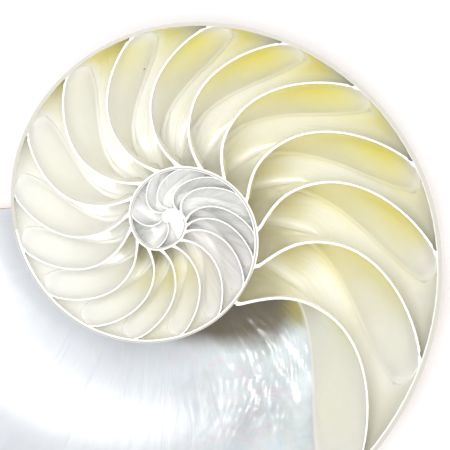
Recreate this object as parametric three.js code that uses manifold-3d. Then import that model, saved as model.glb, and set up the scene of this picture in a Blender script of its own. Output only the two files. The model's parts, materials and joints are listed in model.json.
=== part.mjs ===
import * as THREE from "three";
import { mergeVertices } from "three/addons/utils/BufferGeometryUtils.js";
import Module from "manifold-3d";

// Half of a chambered nautilus shell, cut along its plane of symmetry.
// Lengths are millimetres and angles are degrees. Until it is laid down at the end, the shell
// coils about Z, with the flat cut face at z = 0 and the rounded flank below it.
// A growth angle counts the turns from the first chamber towards the mouth, clockwise from
// above. A place in a cross-section is given as a share of the outer radius at that angle.

const TURN = 360;
const RADIANS = Math.PI / 180;

// Outer radius of the coil, one value every RADIUS_STEP of growth.
const RADIUS_STEP = 60;
const FIRST_RADIUS_ANGLE = -300;
const OUTER_RADII = [
  3.4, 5.0, 5.5, 6.5, 8.6, 12.7, 16.6, 20.2, 23.3, 27.0, 31.9, 40.4, 49.3, 59.5, 71.0, 84.5,
];
const APEX_GROWTH = 0.0066;

// Cross-section of a turn: half its width, where it is widest, and how round the outer edge is.
const HALF_WIDTH = 0.378;
const WIDEST_AT = 0.45;
const EDGE_POWER = 2.3;
const UMBILICUS_FALL = 2.4;

// The umbilicus is closed by a plug of shell; the flank dips to it between the two shares.
const PLUG_DEPTH = 9.5;
const DIP_START = 0.175;
const DIP_END = 0.035;

// Where a turn's cavity ends, on the shoulder of the turn inside it, and its least share.
const SEAM_AT = 0.36;
const SEAM_LEAST = 0.12;

// Thickness of the outer wall and of a septum, as a base and a share of the outer radius.
const WALL_BASE = 0.03;
const WALL_SHARE = 0.016;
const SEPTUM_BASE = 0.16;
const SEPTUM_SHARE = 0.0048;

// The layer laid on the turn inside: a share of the radius, up to a full thickness. It is
// thinner in the living chamber, from just before the last septum on.
const DORSAL_SHARE = 0.033;
const DORSAL_MOST = 0.38;
const DORSAL_THIN = 0.14;
const DORSAL_THINS_FROM = 380;
const DORSAL_THIN_AT = 400;

// Growth angle of each septum, where its cut edge lies furthest back.
const SEPTUM_ANGLES = [
  -272, -205, -150, -119, -77, -53, -19, -1, 17.5, 40.6, 61.3, 83.2, 103.7, 125, 146, 167.3, 190,
  213.2, 237.5, 260.6, 282, 303.5, 326, 346.3, 368.5, 391,
];

// How a septum bows: its cut edge sweeps forward on both sides of its middle, and its line on
// the flank sweeps forward from the middle of the flank, and drops back to the cut at the wall.
const BOW_MIDDLE = 0.54;
const BOW_REACH = 0.46;
const BOW_POWER = 2.2;
const BOW_INNER_SWEEP = 16;
const BOW_OUTER_SWEEP = 22;
const FLANK_SWEEP_START = 0.38;
const FLANK_SWEEP_END = 1.05;
const FLANK_SWEEP_LEAST = 2.5;
const FLANK_SWEEP = 27;
const WALL_DROP_FROM = 0.955;
const WALL_DROP = 7;
const INNER_LIMIT = 0.03;

// The first septa bow further, most of all around one angle.
const YOUNG_BOW = 0.9;
const YOUNG_BOW_ANGLE = -120;
const YOUNG_BOW_RANGE = 150;

// A septum flares where it meets the turn inside, the last one least.
const FLARE = 1.5;
const LAST_FLARE = 0.2;
const FLARE_REACH = 0.08;
const STEEPEST = 3.2;
const MOST_HALF_ANGLE = 4.5;

// The mouth: its edge on the flank, and the bay in its outer edge.
const MOUTH_ANGLE = 536;
const MOUTH_BAY = 7;
const MOUTH_BAY_FROM = 0.55;
const MOUTH_BAY_STEPS = 7;
const FIRST_CHAMBER_ANGLE = -296;

// The half lies on its round flank, so the cut face leans: how far, and towards which side.
const REST_LEAN = 10.0;
const REST_TOWARDS = -13.0;

// Facets.
const BODY_STEPS = 72;
const BODY_EDGE_ANGLES = [0, 14, 29, 45, 62, 78, 90];
const BODY_FLANK_SHARES = [0.34, 0.25, 0.175, 0.14, 0.105, 0.07, 0.035];
const CUT_OVERSHOOT = 0.6;
const TIE = 0.6;
const DEPTH_STOPS = [0.13, 0.3, 0.5, 0.72, 1];
const ACROSS_STOPS = [0, 0.08, 0.2, 0.36, 0.56, 0.77, 0.92, 1];
const CHAMBER_STEPS = 2;
const LIVING_CHAMBER_STEPS = 20;

const growthCurve = new THREE.SplineCurve(
  OUTER_RADII.map((radius, i) => new THREE.Vector2(i * RADIUS_STEP, Math.log(radius))),
);

function outerRadius(angle) {
  const along = angle - FIRST_RADIUS_ANGLE;
  if (along < 0) {
    return OUTER_RADII[0] * Math.exp(APEX_GROWTH * along);
  }
  const span = (OUTER_RADII.length - 1) * RADIUS_STEP;
  return Math.exp(growthCurve.getPoint(Math.min(along / span, 1)).y);
}

function smooth(from, to, value) {
  return THREE.MathUtils.smoothstep(value, from, to);
}

function lerp(from, to, share) {
  return THREE.MathUtils.lerp(from, to, share);
}

// A point of the shell from its growth angle, radius and height.
function place(angle, radius, height) {
  const turned = angle * RADIANS;
  return new THREE.Vector3(radius * Math.cos(turned), -radius * Math.sin(turned), height);
}

// Half width of the outside at a share of the radius.
function flankDepth(share) {
  if (share > WIDEST_AT) {
    const out = (share - WIDEST_AT) / (1 - WIDEST_AT);
    return HALF_WIDTH * Math.sqrt(Math.max(0, 1 - out ** EDGE_POWER));
  }
  return HALF_WIDTH * (1 - UMBILICUS_FALL * (WIDEST_AT - share) ** 2);
}

// The round outer edge, drawn between its widest place and its rim.
function edgePoint(degrees, reach, depth) {
  const out = Math.cos(degrees * RADIANS) ** (2 / EDGE_POWER);
  return { share: reach * out, depth: depth * Math.sin(degrees * RADIANS) };
}

function wallThickness(radius) {
  return WALL_BASE + WALL_SHARE * radius;
}

function dorsalThickness(angle, radius) {
  const full = Math.min(DORSAL_SHARE * radius, DORSAL_MOST);
  return lerp(full, DORSAL_THIN, smooth(DORSAL_THINS_FROM, DORSAL_THIN_AT, angle));
}

// The cavity's cross-section at an angle, in shares of the outer radius.
function section(angle) {
  const radius = outerRadius(angle);
  const inner = outerRadius(angle - TURN) / radius;
  const dorsal = dorsalThickness(angle, radius) / radius;
  const seamShare = Math.max(SEAM_AT * inner, SEAM_LEAST);
  return {
    radius,
    inner,
    dorsal,
    wall: wallThickness(radius) / radius,
    seamShare,
    seamDepth: flankDepth(seamShare / inner) * inner + dorsal,
  };
}

// A point of the cavity: across runs from the turn inside to the outer wall, and down from the
// cut to the seam at the umbilicus.
function cavityPoint(cut, across, down) {
  const innerEdge = {};
  const outerEdge = {};
  const deepest = HALF_WIDTH - cut.wall;
  if (down <= TIE) {
    const degrees = (90 * down) / TIE;
    const inside = edgePoint(degrees, (1 - WIDEST_AT) * cut.inner + cut.dorsal,
      HALF_WIDTH * cut.inner + cut.dorsal);
    const outside = edgePoint(degrees, 1 - WIDEST_AT - cut.wall, deepest);
    innerEdge.share = WIDEST_AT * cut.inner + inside.share;
    innerEdge.depth = inside.depth;
    outerEdge.share = WIDEST_AT + outside.share;
    outerEdge.depth = outside.depth;
  } else {
    const further = (down - TIE) / (1 - TIE);
    const shoulder = lerp(WIDEST_AT, cut.seamShare / cut.inner, further);
    const turned = 90 * RADIANS * further;
    innerEdge.share = shoulder * cut.inner;
    innerEdge.depth = flankDepth(shoulder) * cut.inner + cut.dorsal;
    outerEdge.share = WIDEST_AT - (WIDEST_AT - cut.seamShare) * Math.sin(turned);
    outerEdge.depth = cut.seamDepth + (deepest - cut.seamDepth) * Math.cos(turned);
  }
  return {
    share: lerp(innerEdge.share, outerEdge.share, across),
    depth: lerp(innerEdge.depth, outerEdge.depth, across),
  };
}

// Depth of the cavity's floor under a share of the radius, taken as level inside the widest place.
function floorDepth(cut, share) {
  const fromWidest = (share - WIDEST_AT) / (1 - WIDEST_AT - cut.wall);
  const out = THREE.MathUtils.clamp(fromWidest, 0, 1);
  return (HALF_WIDTH - cut.wall) * Math.sqrt(1 - out ** EDGE_POWER);
}

// How far a share of the radius lies from the turn inside, 0, to the outer wall, 1. It is
// measured on a log scale, on which every turn of the coil looks alike.
function outwardness(cut, share) {
  return Math.log(share / cut.inner) / Math.log(1 / cut.inner);
}

// How far forward of its own angle a septum lies at a place in the section.
function bow(cut, share, depth) {
  const across = THREE.MathUtils.clamp(outwardness(cut, share), INNER_LIMIT, 1);
  const fromMiddle = Math.abs(across - BOW_MIDDLE) / BOW_REACH;
  const sweep = across < BOW_MIDDLE ? BOW_INNER_SWEEP : BOW_OUTER_SWEEP;
  const atCut = sweep * fromMiddle ** BOW_POWER;
  const outward = smooth(FLANK_SWEEP_START, FLANK_SWEEP_END, across);
  const drop = WALL_DROP * smooth(WALL_DROP_FROM, 1, across);
  const atFlank = FLANK_SWEEP_LEAST + FLANK_SWEEP * outward - drop;
  const down = THREE.MathUtils.clamp(depth / Math.max(floorDepth(cut, share), 0.01), 0, 1);
  return lerp(atCut, atFlank, down * down);
}

// Growth angle of one face of a septum: side is -1 for its back, 1 for its front.
function septumFace(septum, side, across, down) {
  const nearness = Math.max(0, 1 - Math.abs(septum - YOUNG_BOW_ANGLE) / YOUNG_BOW_RANGE);
  const spread = 1 + YOUNG_BOW * nearness;
  const probe = 0.01;
  const most = septum === SEPTUM_ANGLES.at(-1) ? LAST_FLARE : FLARE;
  let angle = septum;
  let cut = section(angle);
  for (let pass = 0; pass < 4; pass += 1) {
    const { share, depth } = cavityPoint(cut, across, down);
    const here = bow(cut, share, depth);
    const outSlope = (bow(cut, share + probe, depth) - here) / probe;
    const downSlope = (bow(cut, share, depth + probe) - here) / probe;
    const slope = Math.hypot(outSlope, downSlope) * share * spread * RADIANS;
    const slant = Math.min(STEEPEST, Math.hypot(1, slope));
    const flare = 1 + most * Math.exp(-Math.max(0, outwardness(cut, share)) / FLARE_REACH);
    const half = ((SEPTUM_BASE + SEPTUM_SHARE * cut.radius) * flare) / 2;
    const turned = (half * slant) / (share * cut.radius) / RADIANS;
    angle = septum + spread * here + side * Math.min(turned, MOST_HALF_ANGLE);
    cut = section(angle);
  }
  return angle;
}

// A closed mesh from the six sides of a grid of points; sides that shrink to a line vanish.
function closedGrid(pointAt, steps, downs, acrosses) {
  const corners = [];
  const side = (rows, columns, at, flip) => {
    for (let i = 0; i < rows; i += 1) {
      for (let j = 0; j < columns; j += 1) {
        const [a, b, c, d] = [at(i, j), at(i + 1, j), at(i + 1, j + 1), at(i, j + 1)];
        corners.push(...(flip ? [a, c, b, a, d, c] : [a, b, c, a, c, d]));
      }
    }
  };
  side(downs, acrosses, (i, j) => pointAt(0, i, j), true);
  side(downs, acrosses, (i, j) => pointAt(steps, i, j), false);
  side(steps, downs, (i, j) => pointAt(i, j, 0), true);
  side(steps, downs, (i, j) => pointAt(i, j, acrosses), false);
  side(steps, acrosses, (i, j) => pointAt(i, 0, j), false);
  side(steps, acrosses, (i, j) => pointAt(i, downs, j), true);
  return new THREE.BufferGeometry().setFromPoints(corners);
}

// The cavity between two angles, which may differ from place to place across the section.
// It starts above the cut, so that it opens the cut face.
function cavity(startAt, endAt, steps) {
  const points = new Map();
  const pointAt = (step, i, j) => {
    const key = `${step},${i},${j}`;
    if (!points.has(key)) {
      const down = i === 0 ? 0 : DEPTH_STOPS[i - 1];
      const across = ACROSS_STOPS[j];
      const angle = lerp(startAt(across, down), endAt(across, down), step / steps);
      const cut = section(angle);
      const { share, depth } = cavityPoint(cut, across, down);
      const height = i === 0 ? CUT_OVERSHOOT : -depth * cut.radius;
      points.set(key, place(angle, share * cut.radius, height));
    }
    return points.get(key);
  };
  return closedGrid(pointAt, steps, DEPTH_STOPS.length, ACROSS_STOPS.length - 1);
}

function chamber(index) {
  const back = index === 0
    ? () => FIRST_CHAMBER_ANGLE
    : (across, down) => septumFace(SEPTUM_ANGLES[index - 1], 1, across, down);
  const front = (across, down) => septumFace(SEPTUM_ANGLES[index], -1, across, down);
  return cavity(back, front, CHAMBER_STEPS);
}

function livingChamber() {
  const last = SEPTUM_ANGLES[SEPTUM_ANGLES.length - 1];
  const back = (across, down) => septumFace(last, 1, across, down);
  const beyond = MOUTH_ANGLE + 2 * MOUTH_BAY;
  return cavity(back, () => beyond, LIVING_CHAMBER_STEPS);
}

// The whole half, filled: one turn of the outside, closed by the cut face and the mouth.
function filledHalf() {
  const shares = BODY_EDGE_ANGLES.map(
    (degrees) => WIDEST_AT + edgePoint(degrees, 1 - WIDEST_AT, HALF_WIDTH).share,
  );
  shares.push(...BODY_FLANK_SHARES);
  const rings = shares.length;
  const corners = [];
  const cutCentre = new THREE.Vector3(0, 0, 0);
  const plugCentre = new THREE.Vector3(0, 0, -PLUG_DEPTH);
  const pointAt = (step, ring) => {
    const share = shares[ring];
    const nearMouth = smooth(BODY_STEPS - MOUTH_BAY_STEPS, BODY_STEPS, step);
    const bay = MOUTH_BAY * smooth(MOUTH_BAY_FROM, 1, share) * nearMouth;
    const angle = MOUTH_ANGLE - TURN + (TURN * step) / BODY_STEPS - bay;
    const radius = outerRadius(angle);
    const kept = smooth(DIP_END, DIP_START, share);
    const depth = lerp(PLUG_DEPTH, flankDepth(share) * radius, kept);
    return place(angle, share * radius, ring === 0 ? 0 : -depth);
  };
  const strip = (fromStep, toStep) => {
    for (let ring = 0; ring < rings - 1; ring += 1) {
      const a = pointAt(fromStep, ring);
      const b = pointAt(fromStep, ring + 1);
      const c = pointAt(toStep, ring + 1);
      const d = pointAt(toStep, ring);
      corners.push(a, c, b, a, d, c);
    }
    corners.push(pointAt(fromStep, rings - 1), pointAt(toStep, rings - 1), plugCentre);
    corners.push(pointAt(fromStep, 0), cutCentre, pointAt(toStep, 0));
  };
  for (let step = 0; step < BODY_STEPS; step += 1) {
    strip(step, step + 1);
  }
  strip(BODY_STEPS, 0);
  return new THREE.BufferGeometry().setFromPoints(corners);
}

const wasm = await Module();
wasm.setup();

function toSolid(geometry) {
  const merged = mergeVertices(geometry);
  const index = merged.index.array;
  const triVerts = [];
  for (let i = 0; i < index.length; i += 3) {
    const [a, b, c] = [index[i], index[i + 1], index[i + 2]];
    if (a !== b && b !== c && c !== a) {
      triVerts.push(a, b, c);
    }
  }
  return new wasm.Manifold(new wasm.Mesh({
    numProp: 3,
    vertProperties: merged.attributes.position.array,
    triVerts: new Uint32Array(triVerts),
  }));
}

function toGeometry(solid) {
  const mesh = solid.getMesh();
  const geometry = new THREE.BufferGeometry();
  geometry.setAttribute("position", new THREE.BufferAttribute(mesh.vertProperties, 3));
  geometry.setIndex(new THREE.BufferAttribute(mesh.triVerts, 1));
  geometry.computeVertexNormals();
  return geometry;
}

function shellGeometry() {
  let solid = toSolid(filledHalf());
  for (let index = 0; index < SEPTUM_ANGLES.length; index += 1) {
    solid = solid.subtract(toSolid(chamber(index)));
  }
  solid = solid.subtract(toSolid(livingChamber()));
  return toGeometry(solid);
}

// Lays the half down: the lowest side of its flank turns to face straight down, and the
// origin is under the middle of its box.
function layDown(mesh) {
  const lean = REST_LEAN * RADIANS;
  const towards = REST_TOWARDS * RADIANS;
  const lowest = new THREE.Vector3(
    Math.sin(lean) * Math.cos(towards),
    Math.sin(lean) * Math.sin(towards),
    -Math.cos(lean),
  );
  mesh.quaternion.setFromUnitVectors(lowest, new THREE.Vector3(0, 0, -1));
  mesh.updateMatrixWorld();
  const box = new THREE.Box3().setFromObject(mesh, true);
  const middle = box.getCenter(new THREE.Vector3());
  mesh.position.set(-middle.x, -middle.y, -box.min.z);
}

const nacre = new THREE.MeshStandardMaterial({ color: 0xf1eddf, roughness: 0.3, metalness: 0 });

const shell = new THREE.Mesh(shellGeometry(), nacre);
shell.name = "shell_half";
layDown(shell);

export default new THREE.Group().add(shell);
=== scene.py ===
import json
import math

import bpy
import numpy as np
from mathutils import Matrix, Vector, kdtree, noise


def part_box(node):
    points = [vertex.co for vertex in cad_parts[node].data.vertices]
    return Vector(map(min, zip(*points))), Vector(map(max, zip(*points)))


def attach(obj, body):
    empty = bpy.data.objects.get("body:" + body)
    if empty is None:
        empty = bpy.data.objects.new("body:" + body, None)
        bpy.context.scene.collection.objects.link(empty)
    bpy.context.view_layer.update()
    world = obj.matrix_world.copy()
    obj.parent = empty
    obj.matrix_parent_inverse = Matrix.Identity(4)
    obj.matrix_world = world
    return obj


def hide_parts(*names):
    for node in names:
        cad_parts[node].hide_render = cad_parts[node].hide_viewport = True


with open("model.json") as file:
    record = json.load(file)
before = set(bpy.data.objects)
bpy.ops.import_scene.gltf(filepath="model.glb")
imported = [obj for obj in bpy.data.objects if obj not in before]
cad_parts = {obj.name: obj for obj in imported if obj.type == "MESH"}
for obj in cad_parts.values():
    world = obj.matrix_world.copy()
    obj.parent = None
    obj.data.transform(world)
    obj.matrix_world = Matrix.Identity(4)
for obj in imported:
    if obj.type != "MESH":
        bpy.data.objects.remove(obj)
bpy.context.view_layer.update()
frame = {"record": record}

# Half of a chambered nautilus shell, drawn finely from the same formulas as its solid.
# The shell is worked out in millimetres, coiled about Z with its cut face at z = 0, and then
# moved to where the solid's cut face lies. A growth angle, in degrees, counts the turns from the
# first chamber towards the mouth, clockwise from above. A place in a cross-section is given as
# a share of the outer radius at that angle.

MM = 0.001
TURN = 360.0

RADIUS_STEP = 60.0
FIRST_RADIUS_ANGLE = -300.0
OUTER_RADII = [
    3.4, 5.0, 5.5, 6.5, 8.6, 12.7, 16.6, 20.2, 23.3, 27.0, 31.9, 40.4, 49.3, 59.5, 71.0, 84.5,
]
APEX_GROWTH = 0.0066

HALF_WIDTH = 0.378
WIDEST_AT = 0.45
EDGE_POWER = 2.3
UMBILICUS_FALL = 2.4

PLUG_DEPTH = 9.5
DIP_START = 0.175
DIP_END = 0.035

SEAM_AT = 0.36
SEAM_LEAST = 0.12

WALL_BASE = 0.03
WALL_SHARE = 0.016
SEPTUM_BASE = 0.16
SEPTUM_SHARE = 0.0048

DORSAL_SHARE = 0.033
DORSAL_MOST = 0.38
DORSAL_THIN = 0.14
DORSAL_THINS_FROM = 380.0
DORSAL_THIN_AT = 400.0

SEPTUM_ANGLES = [
    -272, -205, -150, -119, -77, -53, -19, -1, 17.5, 40.6, 61.3, 83.2, 103.7, 125, 146, 167.3,
    190, 213.2, 237.5, 260.6, 282, 303.5, 326, 346.3, 368.5, 391,
]

BOW_MIDDLE = 0.54
BOW_REACH = 0.46
BOW_POWER = 2.2
BOW_INNER_SWEEP = 16.0
BOW_OUTER_SWEEP = 22.0
FLANK_SWEEP_START = 0.38
FLANK_SWEEP_END = 1.05
FLANK_SWEEP_LEAST = 2.5
FLANK_SWEEP = 27.0
WALL_DROP_FROM = 0.955
WALL_DROP = 7.0
INNER_LIMIT = 0.03

YOUNG_BOW = 0.9
YOUNG_BOW_ANGLE = -120.0
YOUNG_BOW_RANGE = 150.0

FLARE = 1.5
LAST_FLARE = 0.2
FLARE_FADES_FROM = 250.0
FLARE_FADED_AT = 310.0
FLARE_REACH = 0.08
STEEPEST = 3.2
MOST_HALF_ANGLE = 4.5

MOUTH_ANGLE = 536.0
MOUTH_BAY = 7.0
MOUTH_BAY_FROM = 0.55
MOUTH_BAY_SPAN = 35.0
FIRST_CHAMBER_ANGLE = -296.0

# Rounding where a septum meets the wall, as shares of the outer radius, and the crest that runs
# along its middle, as a share of the rounding.
FILLET_AT_CUT = 0.003
FILLET_DEEP = 0.034
FILLET_DEEPENS_TO = 0.35
CREST = 0.45
LEAST_ARC = 0.5
MOST_ROUNDED = 0.3

# The cavities reach this far above the cut face, in millimetres, so that the cut is clean.
CUT_OVERSHOOT = 0.6

# Share of the way down a cavity at which it is widest.
TIE = 0.6

# Grid sizes.
BODY_STEPS = 320
EDGE_RINGS = 20
FLANK_RINGS = 20
ACROSS_CELLS = 26
DEPTH_CELLS = 20
FILLET_CELLS = 4
CHAMBER_CELLS = 6
LIVING_CELLS = 190
LIVING_ACROSS_CELLS = 30
LIVING_DEPTH_CELLS = 96

# The living chamber's grid is closest over its wrinkles: places along it for even counts.
LIVING_STEP_PACING = ((0.0, 0.5, 1.0), (0.0, 0.3, 1.0))
LIVING_DOWN_PACING = ((0.0, 0.12, 0.72, 1.0), (0.0, 0.17, 0.62, 1.0))

# What each point of a surface knows of its place, which the materials paint by.
FIELDS = ("growth", "along", "across", "down", "out", "corner")
FIELD_COUNT = len(FIELDS)
CORNER_REACH = 1.2

# Painted yellow glow in the chambers' shade: the growth angles between which it sets in, how far
# down a chamber it reaches, and how much of it shows in the young chambers and deep down.
YELLOW_FROM = 170.0
YELLOW_FULL_AT = 270.0
YELLOW_DEPTH = 0.46
YOUNG_YELLOW = 0.3
DEEP_YELLOW = 0.15

# The place by the outer wall that stays pale, free of the painted glow: along a chamber, outward,
# and in turns of growth.
WEDGE_ALONG = (0.2, 0.6)
WEDGE_OUT = (0.62, 0.85)
WEDGE_GROWTH = (0.66, 0.80)

# A second patch of painted yellow glow, low in the middle chambers.
GLOW = 0.65
GLOW_ANGLE = 105.0
GLOW_SPAN = 45.0
GLOW_OUT = 0.55
GLOW_BREADTH = 0.13

# Surfaces, in the order of the material slots.
OUTSIDE, CUT, CHAMBER, LIVING = range(4)


def smooth(start, end, value):
    x = np.clip((value - start) / (end - start), 0.0, 1.0)
    return x * x * (3.0 - 2.0 * x)


def lerp(start, end, share):
    return start + (end - start) * share


def outer_radius(angle):
    """Catmull-Rom through the logarithms of the radii."""
    logs = np.log(OUTER_RADII)
    along = (np.asarray(angle, float) - FIRST_RADIUS_ANGLE) / RADIUS_STEP
    last = len(logs) - 1
    inside = np.clip(along, 0.0, last)
    i = np.minimum(inside.astype(int), last - 1)
    t = inside - i
    before = logs[np.maximum(i - 1, 0)]
    start = logs[i]
    end = logs[i + 1]
    after = logs[np.minimum(i + 2, last)]
    start_slope = (end - before) / 2.0
    end_slope = (after - start) / 2.0
    value = (
        (2.0 * start - 2.0 * end + start_slope + end_slope) * t**3
        + (-3.0 * start + 3.0 * end - 2.0 * start_slope - end_slope) * t**2
        + start_slope * t
        + start
    )
    apex = APEX_GROWTH * RADIUS_STEP * np.minimum(along, 0.0)
    return np.exp(value + apex)


def place(angle, radius, height):
    turned = np.radians(angle)
    return np.stack([radius * np.cos(turned), -radius * np.sin(turned), height], axis=-1)


def flank_depth(share):
    out = np.clip((share - WIDEST_AT) / (1.0 - WIDEST_AT), 0.0, 1.0)
    edge = HALF_WIDTH * np.sqrt(1.0 - out**EDGE_POWER)
    flank = HALF_WIDTH * (1.0 - UMBILICUS_FALL * (WIDEST_AT - share) ** 2)
    return np.where(share > WIDEST_AT, edge, flank)


def section(angle):
    radius = outer_radius(angle)
    inner = outer_radius(angle - TURN) / radius
    full = np.minimum(DORSAL_SHARE * radius, DORSAL_MOST)
    thinned = smooth(DORSAL_THINS_FROM, DORSAL_THIN_AT, angle)
    dorsal = lerp(full, DORSAL_THIN, thinned) / radius
    wall = WALL_BASE / radius + WALL_SHARE
    seam_share = np.maximum(SEAM_AT * inner, SEAM_LEAST)
    seam_depth = flank_depth(seam_share / inner) * inner + dorsal
    return radius, inner, dorsal, wall, seam_share, seam_depth


def cavity_point(cut, across, down):
    """Share of the radius and depth of a point of the cavity."""
    radius, inner, dorsal, wall, seam_share, seam_depth = cut
    deepest = HALF_WIDTH - wall
    turned = np.radians(90.0 * np.minimum(down / TIE, 1.0))
    out = np.cos(turned).clip(0.0) ** (2.0 / EDGE_POWER)
    in_share = WIDEST_AT * inner + ((1.0 - WIDEST_AT) * inner + dorsal) * out
    in_depth = (HALF_WIDTH * inner + dorsal) * np.sin(turned)
    out_share = WIDEST_AT + (1.0 - WIDEST_AT - wall) * out
    out_depth = deepest * np.sin(turned)
    further = np.clip((down - TIE) / (1.0 - TIE), 0.0, 1.0)
    shoulder = lerp(WIDEST_AT, seam_share / inner, further)
    corner = np.radians(90.0 * further)
    past = down > TIE
    in_share = np.where(past, shoulder * inner, in_share)
    in_depth = np.where(past, flank_depth(shoulder) * inner + dorsal, in_depth)
    out_share = np.where(past, WIDEST_AT - (WIDEST_AT - seam_share) * np.sin(corner), out_share)
    out_depth = np.where(past, seam_depth + (deepest - seam_depth) * np.cos(corner), out_depth)
    gap = np.hypot(out_share - in_share, out_depth - in_depth)
    return lerp(in_share, out_share, across), lerp(in_depth, out_depth, across), gap


def outwardness(cut, share):
    inner = cut[1]
    return np.log(share / inner) / np.log(1.0 / inner)


def floor_depth(cut, share):
    wall = cut[3]
    out = np.clip((share - WIDEST_AT) / (1.0 - WIDEST_AT - wall), 0.0, 1.0)
    return (HALF_WIDTH - wall) * np.sqrt(1.0 - out**EDGE_POWER)


def bow(cut, share, depth):
    across = np.clip(outwardness(cut, share), INNER_LIMIT, 1.0)
    from_middle = np.abs(across - BOW_MIDDLE) / BOW_REACH
    sweep = np.where(across < BOW_MIDDLE, BOW_INNER_SWEEP, BOW_OUTER_SWEEP)
    at_cut = sweep * from_middle**BOW_POWER
    outward = smooth(FLANK_SWEEP_START, FLANK_SWEEP_END, across)
    drop = WALL_DROP * smooth(WALL_DROP_FROM, 1.0, across)
    at_flank = FLANK_SWEEP_LEAST + FLANK_SWEEP * outward - drop
    down = np.clip(depth / np.maximum(floor_depth(cut, share), 0.01), 0.0, 1.0)
    return lerp(at_cut, at_flank, down * down)


def septum_face(septum, side, across, down):
    """Growth angle of one face of a septum: side is -1 for its back, 1 for its front."""
    nearness = max(0.0, 1.0 - abs(septum - YOUNG_BOW_ANGLE) / YOUNG_BOW_RANGE)
    spread = 1.0 + YOUNG_BOW * nearness
    probe = 0.01
    most = lerp(FLARE, LAST_FLARE, smooth(FLARE_FADES_FROM, FLARE_FADED_AT, septum))
    angle = np.full(np.shape(across), float(septum))
    for _ in range(4):
        cut = section(angle)
        share, depth, _gap = cavity_point(cut, across, down)
        here = bow(cut, share, depth)
        out_slope = (bow(cut, share + probe, depth) - here) / probe
        down_slope = (bow(cut, share, depth + probe) - here) / probe
        slope = np.radians(np.hypot(out_slope, down_slope)) * share * spread
        slant = np.minimum(STEEPEST, np.hypot(1.0, slope))
        near = np.maximum(outwardness(cut, share), 0.0)
        flare = 1.0 + most * np.exp(-near / FLARE_REACH)
        half = (SEPTUM_BASE + SEPTUM_SHARE * cut[0]) * flare / 2.0
        turned = np.degrees(half * slant / (share * cut[0]))
        angle = septum + spread * here + side * np.minimum(turned, MOST_HALF_ANGLE)
    return angle


def stops(cells, ends):
    """Even steps from 0 to 1, drawn closer towards both ends."""
    even = np.linspace(0.0, 1.0, cells + 1)
    return lerp(even, smooth(0.0, 1.0, even), ends)


def grid_faces(numbers, flip):
    a = numbers[:-1, :-1].ravel()
    b = numbers[1:, :-1].ravel()
    c = numbers[1:, 1:].ravel()
    d = numbers[:-1, 1:].ravel()
    if flip:
        return np.stack([a, b, c, d], axis=1)
    return np.stack([a, d, c, b], axis=1)


def closed_grid(points):
    """The skin of a block of points, with one closed side for each face of the block."""
    numbers = np.arange(points[..., 0].size).reshape(points.shape[:3])
    faces = [
        grid_faces(numbers[0], True),
        grid_faces(numbers[-1], False),
        grid_faces(numbers[:, :, 0], True),
        grid_faces(numbers[:, :, -1], False),
        grid_faces(numbers[:, 0], False),
        grid_faces(numbers[:, -1], True),
    ]
    return points.reshape(-1, 3), np.concatenate(faces)


def cavity(back, front, steps, across_stops, down_stops, round_front, relief=None):
    """Points of the cavity between two faces, whose corners with the wall are rounded.

    Each point also has its fields: growth, along, across, down, outwardness, and how near it
    is to the corner where the floor meets the face at the back.
    """
    across, down = np.meshgrid(across_stops, down_stops, indexing="ij")
    across = np.concatenate([across[:, :1], across], axis=1)
    down = np.concatenate([down[:, :1] * 0.0, down], axis=1)
    start = back(across, down)
    end = front(across, down)
    start_cut = section(start)
    start_share, _depth, start_gap = cavity_point(start_cut, across, down)
    start_arc = np.maximum(start_share * start_cut[0], LEAST_ARC)
    fillet = lerp(FILLET_AT_CUT, FILLET_DEEP, smooth(0.0, FILLET_DEEPENS_TO, down))
    reach = np.degrees(fillet * start_cut[0] / start_arc)
    reach = np.minimum(reach, MOST_ROUNDED * (end - start))
    rounding = np.radians(np.linspace(0.0, 90.0, FILLET_CELLS + 1))
    crest = [CREST * math.sin(2.0 * turn) ** 2 for turn in rounding]
    rows = [
        (0.0, 1.0 - math.cos(turn) + rise, 1.0 - math.sin(turn) + rise)
        for turn, rise in zip(rounding, crest)
    ]
    rows += [(share, 1.0 - 2.0 * share, 0.0) for share in steps[1:-1]]
    if round_front:
        rows += [(1.0, math.cos(turn) - 1.0, 1.0 - math.sin(turn)) for turn in rounding[::-1]]
    else:
        rows.append((1.0, 0.0, 0.0))
    levels = []
    fields = []
    for share, step, inset in rows:
        angle = lerp(start, end, share) + step * reach
        cut = section(angle)
        _share, _depth, gap = cavity_point(cut, across, down)
        pulled = np.minimum(inset * fillet / np.maximum(gap, 1e-4), MOST_ROUNDED)
        place_across = lerp(pulled, 1.0 - pulled, across)
        place_share, place_depth, _gap = cavity_point(cut, place_across, down)
        if relief is not None:
            place_depth = place_depth - relief(angle, place_share, across, down) / cut[0]
        height = -place_depth * cut[0]
        height[:, 0] = CUT_OVERSHOOT
        levels.append(place(angle, place_share * cut[0], height))
        up_face = (1.0 - place_across) * start_gap * start_cut[0]
        along_wall = np.radians(angle - start) * start_arc
        corner = np.exp(-((np.hypot(up_face, along_wall) / CORNER_REACH) ** 2))
        along = (angle - start) / (end - start)
        out = np.clip(outwardness(cut, np.maximum(place_share, 0.01)), -0.2, 1.2)
        fields.append(np.stack([angle / TURN, along, across, down, out, corner], axis=-1))
    points, faces = closed_grid(np.stack(levels))
    return points, faces, np.stack(fields).reshape(-1, FIELD_COUNT)


def chamber(index):
    across_stops = stops(ACROSS_CELLS, 0.6)
    down_stops = np.linspace(0.0, 1.0, DEPTH_CELLS + 1)[1:]
    if index == 0:
        def back(across, down):
            return np.full(np.shape(across), FIRST_CHAMBER_ANGLE)
    else:
        def back(across, down):
            return septum_face(SEPTUM_ANGLES[index - 1], 1.0, across, down)

    def front(across, down):
        return septum_face(SEPTUM_ANGLES[index], -1.0, across, down)

    steps = np.linspace(0.0, 1.0, CHAMBER_CELLS + 1)
    return cavity(back, front, steps, across_stops, down_stops, True)


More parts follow.
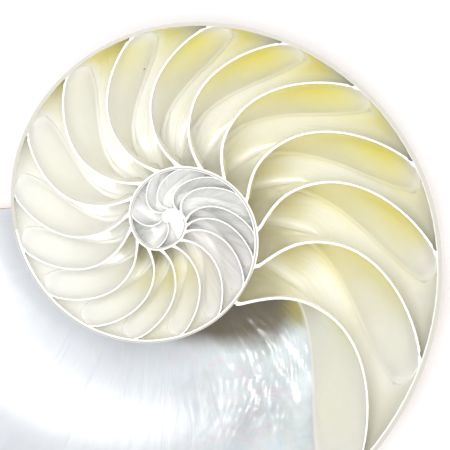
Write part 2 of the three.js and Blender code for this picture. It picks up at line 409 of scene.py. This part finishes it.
# Wrinkled nacre on the floor of the living chamber, where the animal's muscle held: a few long
# folds that run outward, with crumpled ripples beside them.
WRINKLE_ANGLE = 422.0
WRINKLE_SHARE = 0.65
WRINKLE_SPAN = 14.0
WRINKLE_BREADTH = 0.17
RIPPLE_HEIGHT = 0.42
FOLDS = ((411.0, 0.9, 0.2), (416.5, 1.2, 0.35), (424.0, 0.9, 0.15))
FOLD_BEND = 5.0


def ripple(x, y, z):
    """Sharp crests between smooth hollows, from -1 to 1."""
    return 1.0 - 3.2 * abs(noise.noise(Vector((x, y, z))))


def wrinkles(angle, share, across, down):
    """Height, in millimetres, by which the floor of the living chamber stands proud."""
    window = np.exp(-(((angle - WRINKLE_ANGLE) / WRINKLE_SPAN) ** 2))
    window = window * np.exp(-(((share - WRINKLE_SHARE) / WRINKLE_BREADTH) ** 2))
    window = window * smooth(0.75, 1.0, across) * smooth(0.12, 0.3, down)
    height = np.zeros(np.shape(angle))
    x, y, _z = np.moveaxis(place(angle, share * outer_radius(angle), height), -1, 0)
    for i, j in zip(*np.nonzero(window > 0.02)):
        a = angle[i, j]
        s = share[i, j]
        long_way = ripple(x[i, j] * 0.16, y[i, j] * 0.75, 3.1)
        crumple = ripple(x[i, j] * 0.4 + 7.0, y[i, j] * 0.55, 9.4)
        rough = RIPPLE_HEIGHT * (0.6 * max(long_way, 0.0) + 0.6 * max(crumple, 0.0))
        bend = FOLD_BEND * noise.noise(Vector((s * 7.0, 1.7, 4.2)))
        fold = sum(h * math.exp(-(((a - at - bend) / width) ** 2)) for at, width, h in FOLDS)
        height[i, j] = (rough + fold) * window[i, j]
    return height


def living_chamber():
    across_stops = stops(LIVING_ACROSS_CELLS, 0.8)
    even = np.linspace(0.0, 1.0, LIVING_DEPTH_CELLS + 1)[1:]
    down_stops = np.interp(even, *LIVING_DOWN_PACING)

    def back(across, down):
        return septum_face(SEPTUM_ANGLES[-1], 1.0, across, down)

    def front(across, down):
        return np.full(np.shape(across), MOUTH_ANGLE + 2.0 * MOUTH_BAY)

    steps = np.interp(np.linspace(0.0, 1.0, LIVING_CELLS + 1), *LIVING_STEP_PACING)
    return cavity(back, front, steps, across_stops, down_stops, False, wrinkles)


def filled_half():
    """The whole half, filled: one turn of the outside, closed by the cut face and the mouth."""
    turned = np.radians(np.linspace(0.0, 90.0, EDGE_RINGS + 1))
    edge = WIDEST_AT + (1.0 - WIDEST_AT) * np.cos(turned).clip(0.0) ** (2.0 / EDGE_POWER)
    flank = np.linspace(WIDEST_AT, 0.0, FLANK_RINGS + 1)[1:-1]
    shares = np.concatenate([edge, flank])
    step, ring = np.meshgrid(np.arange(BODY_STEPS + 1), np.arange(len(shares)), indexing="ij")
    share = shares[ring]
    angle = MOUTH_ANGLE - TURN + TURN * step / BODY_STEPS
    near_mouth = smooth(MOUTH_ANGLE - MOUTH_BAY_SPAN, MOUTH_ANGLE, angle)
    angle = angle - MOUTH_BAY * smooth(MOUTH_BAY_FROM, 1.0, share) * near_mouth
    radius = outer_radius(angle)
    kept = smooth(DIP_END, DIP_START, share)
    depth = lerp(PLUG_DEPTH, flank_depth(share) * radius, kept)
    depth[:, 0] = 0.0
    points = place(angle, share * radius, -depth)
    count = points[..., 0].size
    numbers = np.arange(count).reshape(points.shape[:2])
    centres = np.array([[0.0, 0.0, -PLUG_DEPTH], [0.0, 0.0, 0.0]])
    plug = count
    middle = count + 1
    around = np.concatenate([numbers, numbers[:1]])
    skin = grid_faces(around, True)
    lowest = around[:, -1]
    rim = around[:, 0]
    plug_fan = np.stack([lowest[:-1], lowest[1:], np.full(BODY_STEPS + 1, plug)], axis=1)
    cut_fan = np.stack([rim[1:], rim[:-1], np.full(BODY_STEPS + 1, middle)], axis=1)
    vertices = np.concatenate([points.reshape(-1, 3), centres])
    faces = skin.tolist() + plug_fan.tolist() + cut_fan.tolist()
    slots = [OUTSIDE] * (len(skin) + len(plug_fan)) + [CUT] * len(cut_fan)
    fields = np.zeros((len(vertices), FIELD_COUNT))
    fields[:count, 0] = angle.ravel() / TURN
    fields[:count, 4] = share.ravel()
    fields[count:, 0] = (MOUTH_ANGLE - TURN) / TURN
    return vertices, faces, slots, fields


def weld(vertices, faces, fields):
    """Merges points that coincide, and drops the faces that this closes up."""
    _kept, first, number = np.unique(
        np.round(vertices, 5), axis=0, return_index=True, return_inverse=True
    )
    number = number.ravel()
    welded = []
    for face in faces:
        loop = []
        for corner in face:
            name = int(number[corner])
            if name not in loop:
                loop.append(name)
        if len(loop) > 2:
            welded.append(loop)
    used = sorted({name for loop in welded for name in loop})
    short = {name: i for i, name in enumerate(used)}
    renumbered = [[short[name] for name in loop] for loop in welded]
    return vertices[first][used], renumbered, fields[first][used]


def mesh_object(name, vertices, faces, slots=None):
    mesh = bpy.data.meshes.new(name)
    mesh.from_pydata(vertices.tolist(), [], faces)
    mesh.validate()
    if slots is not None:
        mesh.polygons.foreach_set("material_index", slots)
    mesh.update()
    made = bpy.data.objects.new(name, mesh)
    bpy.context.scene.collection.objects.link(made)
    return made


def joined(parts):
    """One list of points and faces from several, each with its surface's slot."""
    vertices = []
    faces = []
    slots = []
    fields = []
    count = 0
    for (points, quads, places), slot in parts:
        points, loops, places = weld(points, quads.tolist(), places)
        vertices.append(points)
        fields.append(places)
        faces.extend([[corner + count for corner in loop] for loop in loops])
        slots.extend([slot] * len(loops))
        count += len(points)
    return np.concatenate(vertices), faces, slots, np.concatenate(fields)


def read_points(mesh):
    points = np.empty(len(mesh.vertices) * 3)
    mesh.vertices.foreach_get("co", points)
    return points.reshape(-1, 3)


def nearest_fields(points, known, fields):
    tree = kdtree.KDTree(len(known))
    for i, point in enumerate(known):
        tree.insert(point, i)
    tree.balance()
    return np.array([fields[tree.find(point)[1]] for point in points])


def painted_shade_glow(fields, turned_down):
    """Painted yellow glow in shade: most just under a wall or septum that keeps the light off."""
    grown = smooth(YELLOW_FROM / TURN, YELLOW_FULL_AT / TURN, fields["growth"])
    shallow = lerp(1.0, DEEP_YELLOW, smooth(0.0, YELLOW_DEPTH, fields["down"]))
    under = smooth(0.12, 0.8, turned_down) * shallow * lerp(YOUNG_YELLOW, 1.0, grown)
    wedge = smooth(*WEDGE_ALONG, fields["along"]) * smooth(*WEDGE_OUT, fields["out"])
    wedge = wedge * smooth(*WEDGE_GROWTH, fields["growth"])
    under = under * (1.0 - wedge)
    near_old = np.exp(-(((fields["out"] - GLOW_OUT) / GLOW_BREADTH) ** 2))
    lower = np.exp(-(((fields["growth"] * TURN - GLOW_ANGLE) / GLOW_SPAN) ** 2))
    return np.clip(under + GLOW * near_old * lower, 0.0, 1.0)


def add_fields(mesh, outer, inner):
    """Stores each vertex's fields, found on the surface that it came from."""
    points = read_points(mesh)
    hollow = np.zeros(len(points), bool)
    for polygon in mesh.polygons:
        if polygon.material_index in (CHAMBER, LIVING):
            hollow[list(polygon.vertices)] = True
    fields = np.empty((len(points), FIELD_COUNT))
    fields[hollow] = nearest_fields(points[hollow], *inner)
    fields[~hollow] = nearest_fields(points[~hollow], *outer)
    normals = np.empty(len(points) * 3)
    mesh.vertices.foreach_get("normal", normals)
    turned_down = np.clip(-normals.reshape(-1, 3)[:, 1], 0.0, 1.0)
    values = dict(zip(FIELDS, fields.T))
    # Painted yellow glow where a surface is turned away from the light.
    values["shade_glow"] = painted_shade_glow(values, turned_down)
    for name, column in values.items():
        layer = mesh.attributes.new(name, "FLOAT", "POINT")
        layer.data.foreach_set("value", column.astype(np.float32))
    coil = mesh.attributes.new("coil", "FLOAT_VECTOR", "POINT")
    coil.data.foreach_set("vector", points.astype(np.float32).ravel())


def cut_shell(materials):
    """The filled half less its chambers."""
    body_points, body_faces, body_slots, body_fields = filled_half()
    body = mesh_object("shell", body_points, body_faces, body_slots)
    parts = [(chamber(i), CHAMBER) for i in range(len(SEPTUM_ANGLES))]
    parts.append((living_chamber(), LIVING))
    hollow_points, hollow_faces, hollow_slots, hollow_fields = joined(parts)
    cutter = mesh_object("cavities", hollow_points, hollow_faces, hollow_slots)
    for made in (body, cutter):
        for material in materials:
            made.data.materials.append(material)
    cut = body.modifiers.new("cut", "BOOLEAN")
    cut.operation = "DIFFERENCE"
    cut.solver = "MANIFOLD"
    cut.object = cutter
    depsgraph = bpy.context.evaluated_depsgraph_get()
    mesh = bpy.data.meshes.new_from_object(body.evaluated_get(depsgraph))
    body.modifiers.clear()
    body.data = mesh
    bpy.data.objects.remove(cutter)
    add_fields(mesh, (body_points, body_fields), (hollow_points, hollow_fields))
    return body


# Where the shell lies: the record's flat mount is a point on the cut face and its normal.
FACE = frame["record"]["mounts"][0]
CUT_NORMAL = Vector(FACE["axis"]).normalized()
LEAN = Vector((0.0, 0.0, 1.0)).rotation_difference(CUT_NORMAL).to_matrix()


def lay(points):
    """From the coil's own frame, in millimetres, to the solid's, less the shift."""
    return np.asarray(points) @ np.array(LEAN).T * MM


def fit_to_frame(points):
    """The slight shrinking that keeps the rounder fine surface inside the faceted solid's box."""
    low, high = (np.array(corner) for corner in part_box("shell_half"))
    return min(1.0, ((high - low) / np.ptp(points, axis=0)).min())


def shift_to_frame(points):
    """The shift that puts leaned points in the solid's box, with the cut faces level."""
    low, high = (np.array(corner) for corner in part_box("shell_half"))
    middle = (low + high) / 2.0 - (points.min(axis=0) + points.max(axis=0)) / 2.0
    level = Vector(FACE["pos_m"]).dot(CUT_NORMAL)
    z = (level - middle[0] * CUT_NORMAL.x - middle[1] * CUT_NORMAL.y) / CUT_NORMAL.z
    return np.array([middle[0], middle[1], z])


# Materials


class Nodes:
    """A new material's node tree, with short ways to add to it."""

    def __init__(self, name):
        self.material = bpy.data.materials.new(name)
        self.material.use_nodes = True
        self.tree = self.material.node_tree
        self.tree.nodes.clear()
        self.shader = self.add("ShaderNodeBsdfPrincipled")
        output = self.add("ShaderNodeOutputMaterial")
        self.link(self.shader.outputs["BSDF"], output.inputs["Surface"])

    def add(self, kind, **values):
        made = self.tree.nodes.new(kind)
        for name, value in values.items():
            setattr(made, name, value)
        return made

    def link(self, start, end):
        self.tree.links.new(start, end)

    def feed(self, socket, value):
        if isinstance(value, bpy.types.NodeSocket):
            self.link(value, socket)
        elif isinstance(value, tuple) and len(value) == 3 and socket.type == "RGBA":
            socket.default_value = (*value, 1.0)
        else:
            socket.default_value = value

    def field(self, name):
        return self.add("ShaderNodeAttribute", attribute_name=name).outputs["Fac"]

    def coil(self):
        return self.add("ShaderNodeAttribute", attribute_name="coil").outputs["Vector"]

    def math(self, operation, *values):
        made = self.add("ShaderNodeMath", operation=operation)
        for socket, value in zip(made.inputs, values):
            self.feed(socket, value)
        return made.outputs[0]

    def times(self, *values):
        result = values[0]
        for value in values[1:]:
            result = self.math("MULTIPLY", result, value)
        return result

    def plus(self, first, second):
        return self.math("ADD", first, second)

    def between(self, value, start, end):
        """Eases from 0 to 1 as the value goes from start to end."""
        made = self.add("ShaderNodeMapRange", interpolation_type="SMOOTHSTEP")
        for socket, given in zip(made.inputs, (value, start, end)):
            self.feed(socket, given)
        return made.outputs[0]

    def near(self, value, middle, reach):
        """1 at the middle, and 0 from the reach on."""
        away = self.math("ABSOLUTE", self.math("SUBTRACT", value, middle))
        return self.between(away, reach, 0.0)

    def vector(self, x, y, z):
        made = self.add("ShaderNodeCombineXYZ")
        for socket, value in zip(made.inputs, (x, y, z)):
            self.feed(socket, value)
        return made.outputs[0]

    def noise(self, vector, scale, detail=3.0, distortion=0.0):
        made = self.add("ShaderNodeTexNoise")
        made.inputs["Scale"].default_value = scale
        made.inputs["Detail"].default_value = detail
        made.inputs["Distortion"].default_value = distortion
        self.link(vector, made.inputs["Vector"])
        return made.outputs["Fac"]

    def specks(self, scale, radius):
        made = self.add("ShaderNodeTexVoronoi")
        made.inputs["Scale"].default_value = scale
        self.link(self.coil(), made.inputs["Vector"])
        return self.between(made.outputs["Distance"], radius, radius * 0.4)

    def ramp(self, factor, *stops):
        made = self.add("ShaderNodeValToRGB")
        elements = made.color_ramp.elements
        while len(elements) < len(stops):
            elements.new(0.5)
        for element, (at, colour) in zip(elements, stops):
            element.position = at
            element.color = (*colour, 1.0)
        self.feed(made.inputs["Fac"], factor)
        return made.outputs["Color"]

    def mix(self, factor, first, second, blend="MIX"):
        made = self.add("ShaderNodeMix", data_type="RGBA", blend_type=blend)
        colours = [socket for socket in made.inputs if socket.type == "RGBA"]
        self.feed(made.inputs["Factor"], factor)
        self.feed(colours[0], first)
        self.feed(colours[1], second)
        return next(socket for socket in made.outputs if socket.type == "RGBA")

    def bump(self, height, distance, strength=1.0, after=None):
        made = self.add("ShaderNodeBump")
        made.inputs["Strength"].default_value = strength
        made.inputs["Distance"].default_value = distance
        self.link(height, made.inputs["Height"])
        if after is not None:
            self.link(after, made.inputs["Normal"])
        return made.outputs["Normal"]

    def radius_of_turn(self, first_angle, part):
        """Outer radius, in millimetres, over one turn that starts at an angle."""
        made = self.add("ShaderNodeFloatCurve")
        points = made.mapping.curves[0].points
        logs = np.log(outer_radius(first_angle + np.linspace(0.0, TURN, CURVE_POINTS)))
        low, high = logs.min(), logs.max()
        while len(points) < CURVE_POINTS:
            points.new(0.5, 0.5)
        for i, point in enumerate(points):
            point.location = (i / (CURVE_POINTS - 1.0), (logs[i] - low) / (high - low))
        made.mapping.update()
        self.link(part, made.inputs["Value"])
        log = self.math("MULTIPLY_ADD", made.outputs[0], float(high - low), float(low))
        return self.math("EXPONENT", log)

    def finish(self, **values):
        for name, value in values.items():
            self.feed(self.shader.inputs[name.replace("_", " ")], value)
        return self.material


CURVE_POINTS = 37
SUBSURFACE_RADIUS = (1.0, 0.92, 0.75)

IVORY = (0.875, 0.862, 0.765)
PALE_IVORY = (0.925, 0.92, 0.875)
PAINTED_LIGHT_IVORY = (0.98, 0.975, 0.915)
GLOW_YELLOW = (0.93, 0.80, 0.03)
PALE_GLOW_YELLOW = (0.93, 0.86, 0.20)
OLIVE = (0.74, 0.69, 0.42)
SHADE_OLIVE = (0.66, 0.60, 0.24)
SHADOW_OLIVE = (0.40, 0.36, 0.16)
YOUNG_GREY = (0.70, 0.70, 0.68)
YOUNG_WHITE = (0.97, 0.97, 0.955)
FIRST_SHADE = (0.62, 0.62, 0.61)
SILVER = (0.50, 0.51, 0.53)
PALE_SILVER = (0.74, 0.77, 0.80)
SUTURE_HIGHLIGHT = (0.99, 0.98, 0.95)
ROSE = (0.95, 0.88, 0.86)
SHADED_BROWN = (0.13, 0.105, 0.062)
YELLOW_SHADE = (0.62, 0.54, 0.12)
PALE_BLUE = (0.86, 0.93, 0.97)
SHADE_BLUE = (0.62, 0.645, 0.68)
PINK_TINT = (0.97, 0.82, 0.88)
GREEN_TINT = (0.80, 0.95, 0.86)
BLUE_TINT = (0.76, 0.91, 0.99)
NO_TINT = (0.97, 0.97, 0.97)
CUT_WHITE = (0.93, 0.93, 0.92)
WHITE = (0.97, 0.97, 0.965)
FLOOR_WHITE = (0.975, 0.975, 0.98)
WALL_GREY = (0.54, 0.52, 0.46)
SEAM_BROWN = (0.27, 0.24, 0.15)
SPECK = (0.30, 0.27, 0.12)


def ivory_with_painted_glow(n):
    """Ivory nacre with painted yellow glow where it is in shade, the same on every septum and
    chamber wall.
    """
    cloud = n.noise(n.coil(), 0.10, 4.0)
    pale = n.ramp(cloud, (0.35, IVORY), (0.65, PALE_IVORY))
    yellow = n.ramp(n.noise(n.coil(), 0.07, 2.0), (0.4, GLOW_YELLOW), (0.62, PALE_GLOW_YELLOW))
    # Painted yellow glow in shade over the ivory.
    return n.mix(n.field("shade_glow"), pale, yellow)


def chamber_material():
    n = Nodes("chamber_nacre")
    growth = n.field("growth")
    out = n.field("out")
    along = n.field("along")
    # Painted light: the middle chambers, which the light leaves in shade, are brightened to a
    # paler ivory.
    colour = n.mix(n.near(growth, 0.44, 0.28), ivory_with_painted_glow(n), PAINTED_LIGHT_IVORY)
    arcs = n.vector(n.times(along, 7.0), n.times(out, 1.3), n.times(growth, 20.0))
    arc = n.noise(arcs, 1.6, 4.0, 0.4)
    streak = n.times(n.between(arc, 0.5, 0.72), n.between(out, 0.62, 0.2), 0.5)
    colour = n.mix(streak, colour, OLIVE)
    # Painted shadow of the inner whorl at the inner ends of the middle chambers.
    inmost_shadow = n.times(n.between(out, 0.50, 0.32), n.near(growth, 0.3, 0.17), 0.85)
    colour = n.mix(inmost_shadow, colour, SHADOW_OLIVE)
    late = n.between(growth, 0.8, 0.98)
    # Painted yellow glow in the shade under the septa of the later chambers.
    glow_under_arch = n.times(n.between(out, 0.80, 0.50), n.between(along, 0.45, 0.1), late, 0.45)
    colour = n.mix(glow_under_arch, colour, GLOW_YELLOW)
    # Painted olive shade at the inner end of the later chambers, by the older septum.
    shade_beside_old = n.times(n.between(out, 0.55, 0.28), n.between(along, 0.98, 0.5), late, 0.8)
    colour = n.mix(shade_beside_old, colour, SHADE_OLIVE)
    rays = n.noise(n.vector(n.times(growth, 260.0), n.times(out, 3.0), along), 1.0, 3.0)
    ray = n.plus(n.times(arc, 0.5), n.times(rays, 0.5))
    young = n.ramp(ray, (0.42, YOUNG_GREY), (0.58, YOUNG_WHITE))
    # Painted shade darkens the first chambers.
    young = n.mix(n.between(growth, -0.3, -0.5), young, FIRST_SHADE, "MULTIPLY")
    colour = n.mix(n.between(growth, 0.2, 0.1), colour, young)
    rosy = n.times(n.near(growth, 0.1, 0.09), n.between(rays, 0.35, 0.65), 0.7)
    colour = n.mix(rosy, colour, ROSE)
    # Painted highlight along the suture, where the floor meets the septum behind.
    colour = n.mix(n.times(n.field("corner"), 0.9), colour, SUTURE_HIGHLIGHT)
    colour = n.mix(n.specks(0.12, 0.03), colour, SPECK)
    normal = n.bump(arc, 0.0002, 0.35)
    normal = n.bump(rays, 0.00006, 0.3, normal)
    return n.finish(
        Base_Color=colour,
        Roughness=0.3,
        Subsurface_Weight=0.25,
        Subsurface_Radius=SUBSURFACE_RADIUS,
        Subsurface_Scale=0.001,
        Coat_Weight=0.5,
        Coat_Roughness=0.08,
        Normal=normal,
    )


def living_material():
    n = Nodes("living_nacre")
    growth = n.field("growth")
    out = n.field("out")
    along = n.field("along")
    lines = n.vector(n.times(growth, 150.0), n.times(out, 5.0), n.field("across"))
    line = n.noise(lines, 0.5, 5.0, 0.8)
    cloud = n.noise(n.coil(), 0.09, 5.0, 0.5)
    silver = n.ramp(cloud, (0.36, SILVER), (0.62, PALE_SILVER))
    silver = n.mix(n.between(line, 0.45, 0.7), silver, PALE_SILVER)
    # Painted blue-grey shade over the living chamber from its middle towards the mouth.
    silver = n.mix(n.times(n.between(growth, 1.15, 1.27), 0.8), silver, SHADE_BLUE)
    tints = n.ramp(
        n.noise(n.coil(), 0.16, 3.0, 1.5),
        (0.36, PINK_TINT),
        (0.44, NO_TINT),
        (0.52, GREEN_TINT),
        (0.58, NO_TINT),
        (0.66, BLUE_TINT),
    )
    tinted = n.times(n.between(growth, 1.32, 1.12), 0.6)
    colour = n.mix(tinted, silver, tints, "MULTIPLY")
    # Painted shadow under the inner whorl and the last septum, over the dark black layer that
    # lines the dorsal wall.
    rim = n.plus(out, n.times(n.plus(growth, -1.09), 2.7))
    uneven = n.times(n.plus(cloud, -0.5), 0.25)
    shadow_and_black_layer = n.between(n.plus(rim, uneven), 0.70, 0.50)
    colour = n.mix(n.times(shadow_and_black_layer, 0.95), colour, SHADED_BROWN)
    glow = n.times(n.near(out, 0.48, 0.16), n.near(growth, 1.10, 0.035), 0.8)
    colour = n.mix(glow, colour, YELLOW_SHADE)
    gleam = n.times(n.near(out, 0.72, 0.14), n.near(growth, 1.143, 0.03), 0.7)
    colour = n.mix(gleam, colour, PALE_BLUE)
    last_septum = n.mix(0.28, ivory_with_painted_glow(n), OLIVE)
    colour = n.mix(n.between(along, 0.012, 0.004), colour, last_septum)
    colour = n.mix(n.times(n.field("corner"), 0.6), colour, ROSE)
    normal = n.bump(line, 0.00025, 0.45)
    return n.finish(
        Base_Color=colour,
        Roughness=0.27,
        Subsurface_Weight=0.3,
        Subsurface_Radius=SUBSURFACE_RADIUS,
        Subsurface_Scale=0.0012,
        Coat_Weight=0.4,
        Coat_Roughness=0.22,
        Normal=normal,
    )


# Half width, in millimetres, of the line where a turn is laid on the one inside it.
SEAM_LINE = 0.2


def cut_material():
    n = Nodes("cut_edge")
    split = n.add("ShaderNodeSeparateXYZ")
    n.link(n.coil(), split.inputs[0])
    x = split.outputs["X"]
    y = split.outputs["Y"]
    radius = n.math("SQRT", n.plus(n.times(x, x), n.times(y, y)))
    turned = n.math("ARCTAN2", n.times(y, -1.0), x)
    part = n.math("FRACT", n.math("DIVIDE", turned, 2.0 * math.pi))
    mouth = n.math("LESS_THAN", part, MOUTH_ANGLE / TURN - 1.0)
    first = n.radius_of_turn(-TURN, part)
    second = n.radius_of_turn(0.0, part)
    third = n.radius_of_turn(TURN, part)
    seam_in_first = n.near(n.math("SUBTRACT", first, radius), 0.0, SEAM_LINE)
    seam_in_second = n.times(n.near(n.math("SUBTRACT", second, radius), 0.0, SEAM_LINE), mouth)
    seam = n.math("MAXIMUM", seam_in_first, seam_in_second)
    outline = n.plus(n.times(third, mouth), n.times(second, n.math("SUBTRACT", 1.0, mouth)))
    from_outside = n.math("SUBTRACT", outline, radius)
    grain = n.noise(n.coil(), 0.8, 4.0)
    colour = n.ramp(grain, (0.35, CUT_WHITE), (0.6, WHITE))
    colour = n.mix(n.between(from_outside, 0.85, 0.5), colour, WALL_GREY)
    colour = n.mix(n.times(seam, 0.85), colour, SEAM_BROWN)
    return n.finish(
        Base_Color=colour,
        Roughness=0.42,
        Subsurface_Weight=0.3,
        Subsurface_Radius=SUBSURFACE_RADIUS,
        Subsurface_Scale=0.001,
        Normal=n.bump(grain, 0.00003, 0.3),
    )


# Brown flames on the outside: how many in a turn, and how far their line wavers, in flames.
STRIPES = 21.0
WAVER = 2.2
CREAM = (0.88, 0.84, 0.75)
PALE_CREAM = (0.94, 0.92, 0.87)
DARK_FLAME = (0.28, 0.095, 0.035)
FLAME = (0.47, 0.20, 0.075)


def outside_material():
    n = Nodes("outside")
    growth = n.field("growth")
    share = n.field("out")
    waver = n.noise(n.coil(), 0.04, 2.0)
    turned = n.plus(n.times(growth, STRIPES), n.times(waver, WAVER))
    wave = n.math("SINE", n.times(turned, 2.0 * math.pi))
    broken = n.noise(n.coil(), 0.06, 4.0)
    older = n.times(n.math("SUBTRACT", 1.40, growth), 1.5)
    flame = n.plus(n.plus(wave, n.times(broken, 1.4)), n.plus(older, -1.0))
    stripe = n.between(flame, 0.35, 0.6)
    cream = n.ramp(n.noise(n.coil(), 0.08, 4.0), (0.35, CREAM), (0.65, PALE_CREAM))
    brown = n.ramp(broken, (0.35, DARK_FLAME), (0.65, FLAME))
    colour = n.mix(stripe, cream, brown)
    colour = n.mix(n.between(share, 0.2, 0.12), colour, YOUNG_WHITE)
    lines = n.vector(n.times(growth, 420.0), n.times(share, 3.0), 0.0)
    return n.finish(
        Base_Color=colour,
        Roughness=0.36,
        Coat_Weight=0.25,
        Coat_Roughness=0.2,
        Normal=n.bump(n.noise(lines, 1.0, 3.0), 0.00015, 0.5),
    )


def floor_material():
    return Nodes("floor").finish(Base_Color=FLOOR_WHITE, Roughness=0.9)


CREASE = 50.0


def shade(mesh):
    mesh.shade_smooth()
    mesh.set_sharp_from_angle(angle=math.radians(CREASE))


MATERIALS = [outside_material(), cut_material(), chamber_material(), living_material()]
shell = cut_shell(MATERIALS)
shade(shell.data)
leaned = lay(read_points(shell.data))
FIT = fit_to_frame(leaned)
leaned *= FIT
SHIFT = shift_to_frame(leaned)
shell.data.vertices.foreach_set("co", (leaned + SHIFT).ravel())
shell.data.update()
shell.name = "nautilus_half"

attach(shell, "root")
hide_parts("shell_half")


def from_coil(x, y, z):
    """A point given in the coil's own frame, in millimetres, as a place in the scene."""
    return Vector(lay([x, y, z]) * FIT + SHIFT)


# Floor, light and camera

FLOOR_SIZE = 3.0
KEY_PLACE = (-50.0, 100.0, 575.0)
KEY_SIZE = 0.28
KEY_POWER = 2.1
FILL_PLACE = (260.0, -160.0, 520.0)
FILL_SIZE = 0.5
FILL_POWER = 0.7
WORLD_STRENGTH = 0.63

floor = mesh_object(
    "floor",
    np.array([[-1, -1, 0], [1, -1, 0], [1, 1, 0], [-1, 1, 0]]) * FLOOR_SIZE / 2.0,
    [[0, 1, 2, 3]],
)
floor.data.materials.append(floor_material())


def area_light(name, place_mm, size, power):
    """A soft light at a place in the coil's own frame, aimed at the coil's centre."""
    data = bpy.data.lights.new(name, "AREA")
    data.shape = "DISK"
    data.size = size
    data.energy = power
    made = bpy.data.objects.new(name, data)
    made.location = from_coil(*place_mm)
    away = made.location - from_coil(0.0, 0.0, 0.0)
    made.rotation_euler = away.to_track_quat("Z", "Y").to_euler()
    bpy.context.scene.collection.objects.link(made)


area_light("key", KEY_PLACE, KEY_SIZE, KEY_POWER)
area_light("fill", FILL_PLACE, FILL_SIZE, FILL_POWER)

world = bpy.data.worlds.new("world")
bpy.context.scene.world = world
world.use_nodes = True
background = world.node_tree.nodes["Background"]
background.inputs["Color"].default_value = (1.0, 1.0, 1.0, 1.0)
background.inputs["Strength"].default_value = WORLD_STRENGTH

# The camera looks down on the cut face. Pixels are the photograph's, which is 450 wide.
FRAME_MM = 67.5
PIXELS = 450.0
COIL_CENTRE_PIXEL = (168.0, 219.0)
CAMERA_DISTANCE = 420.0
CAMERA_TILT = 8.0
SENSOR = 36.0

scale = FRAME_MM / PIXELS
aim = (
    (PIXELS / 2.0 - COIL_CENTRE_PIXEL[0]) * scale,
    -(PIXELS / 2.0 - COIL_CENTRE_PIXEL[1]) * scale,
    0.0,
)
tilt = math.radians(CAMERA_TILT)
eye = (aim[0], aim[1] + CAMERA_DISTANCE * math.sin(tilt), CAMERA_DISTANCE * math.cos(tilt))
camera_data = bpy.data.cameras.new("camera")
camera_data.sensor_width = SENSOR
camera_data.lens = SENSOR * CAMERA_DISTANCE / FRAME_MM
camera_data.clip_start = 0.01
camera = bpy.data.objects.new("camera", camera_data)
bpy.context.scene.collection.objects.link(camera)
back = (from_coil(*eye) - from_coil(*aim)).normalized()
upward = from_coil(aim[0], aim[1] + 1.0, 0.0) - from_coil(*aim)
right = upward.cross(back).normalized()
camera.matrix_world = Matrix.Translation(from_coil(*eye)) @ Matrix(
    (right, back.cross(right), back)
).transposed().to_4x4()
bpy.context.scene.camera = camera
bpy.context.scene.view_settings.view_transform = "Standard"
